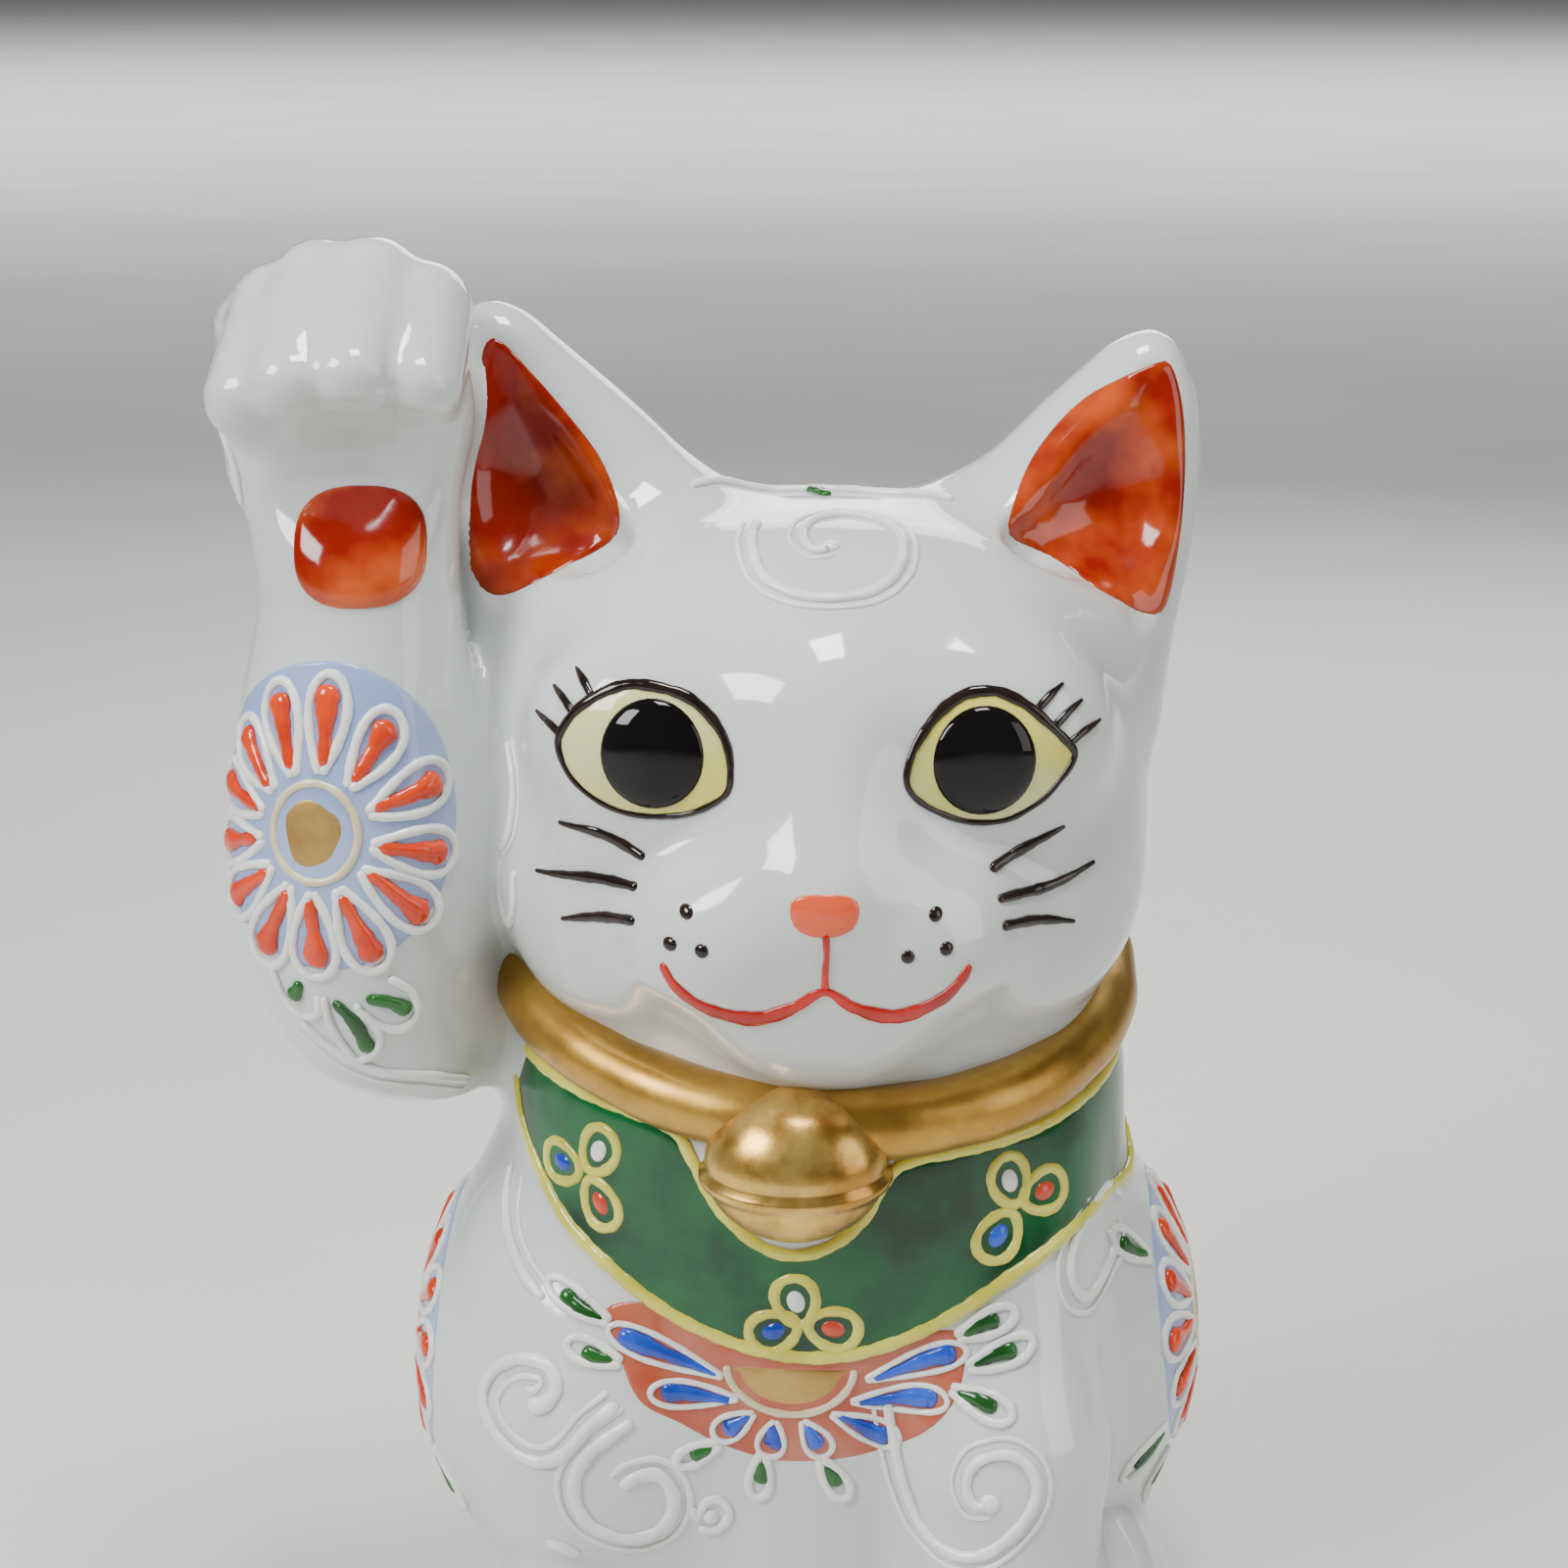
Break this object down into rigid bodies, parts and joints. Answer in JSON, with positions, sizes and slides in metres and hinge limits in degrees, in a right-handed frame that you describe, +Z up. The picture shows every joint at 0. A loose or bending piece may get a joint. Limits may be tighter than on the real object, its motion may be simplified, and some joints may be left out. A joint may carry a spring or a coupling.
{
  "type": "beckoning cat figurine",
  "caption": "Seated porcelain beckoning cat with a raised paw, gilded collar and bell, green bib and raised-enamel flowers and scrolls.",
  "frame": {"origin": "middle of the foot, on the flat face that the cat stands on", "axes": "+Z up along the seated cat, -Y the way the cat faces, +X towards the cat's left side; the raised foreleg is at -X"},
  "size_m": [0.0993, 0.0788, 0.1506],
  "materials": {
    "glazed_porcelain": "clear gloss glaze on white porcelain",
    "collar_gold": "fired gold over a modelled roll, satin gloss",
    "bell_gold": "fired bright gold, gloss",
    "heart_gold": "fired gold, satin",
    "green_enamel": "translucent deep green enamel, gloss",
    "yellow_enamel": "opaque yellow raised enamel, gloss",
    "white_enamel": "opaque white raised enamel, gloss",
    "cobalt_enamel": "cobalt blue enamel, gloss",
    "coral_enamel": "coral red enamel, gloss",
    "orange_enamel": "orange red enamel, gloss",
    "blue_wash": "thin light blue enamel, gloss",
    "coral_wash": "thin terracotta enamel, gloss",
    "leaf_green": "green raised enamel, gloss",
    "iron_red": "pooled iron red enamel, gloss",
    "eye_yellow": "pale yellow green enamel, gloss",
    "black_enamel": "domed black enamel, high gloss",
    "black_line": "brushed black line, gloss",
    "nose_coral": "coral enamel, gloss",
    "mouth_red": "brushed red line, gloss"
  },
  "bodies": {
    "root": {"back_flower_ground": "blue_wash", "back_flower_heart": "heart_gold", "back_flower_petal_strokes": "orange_enamel", "back_flower_petal_trails": "white_enamel", "back_leaf_strokes": "leaf_green", "back_white_trails": "white_enamel", "bell": "bell_gold", "bib_blossom_rings": "yellow_enamel", "bib_blue_dots": "cobalt_enamel", "bib_border_trail": "yellow_enamel", "bib_ground": "green_enamel", "bib_red_dots": "coral_enamel", "bib_white_dots": "white_enamel", "chest_flower_ground": "coral_wash", "chest_flower_heart": "heart_gold", "chest_flower_petal_strokes": "cobalt_enamel", "chest_flower_petal_trails": "white_enamel", "chest_leaf_strokes": "leaf_green", "chest_white_trails": "white_enamel", "collar_roll": "collar_gold", "crown_scroll": "white_enamel", "head_casting": "glazed_porcelain", "lashes": "black_line", "left_ear_red": "iron_red", "left_eye_ground": "eye_yellow", "left_eye_outline": "black_line", "left_haunch_flower_ground": "blue_wash", "left_haunch_flower_heart": "heart_gold", "left_haunch_flower_petal_strokes": "orange_enamel", "left_haunch_flower_petal_trails": "white_enamel", "left_haunch_leaf_strokes": "leaf_green", "left_haunch_white_trails": "white_enamel", "left_pupil": "black_enamel", "mouth_line": "mouth_red", "muzzle_spots": "black_line", "nape_scrolls": "white_enamel", "nose": "nose_coral", "palm_pad": "iron_red", "raised_foreleg_casting": "glazed_porcelain", "raised_foreleg_flower_ground": "blue_wash", "raised_foreleg_flower_heart": "heart_gold", "raised_foreleg_flower_petal_strokes": "orange_enamel", "raised_foreleg_flower_petal_trails": "white_enamel", "raised_foreleg_leaf_strokes": "leaf_green", "raised_foreleg_white_trails": "white_enamel", "right_ear_red": "iron_red", "right_eye_ground": "eye_yellow", "right_eye_outline": "black_line", "right_haunch_flower_ground": "blue_wash", "right_haunch_flower_heart": "heart_gold", "right_haunch_flower_petal_strokes": "orange_enamel", "right_haunch_flower_petal_trails": "white_enamel", "right_haunch_leaf_strokes": "leaf_green", "right_haunch_white_trails": "white_enamel", "right_pupil": "black_enamel", "standing_foreleg_scroll": "white_enamel", "tail_casting": "glazed_porcelain", "torso_casting": "glazed_porcelain", "whiskers": "black_line"}
  },
  "joints": []
}
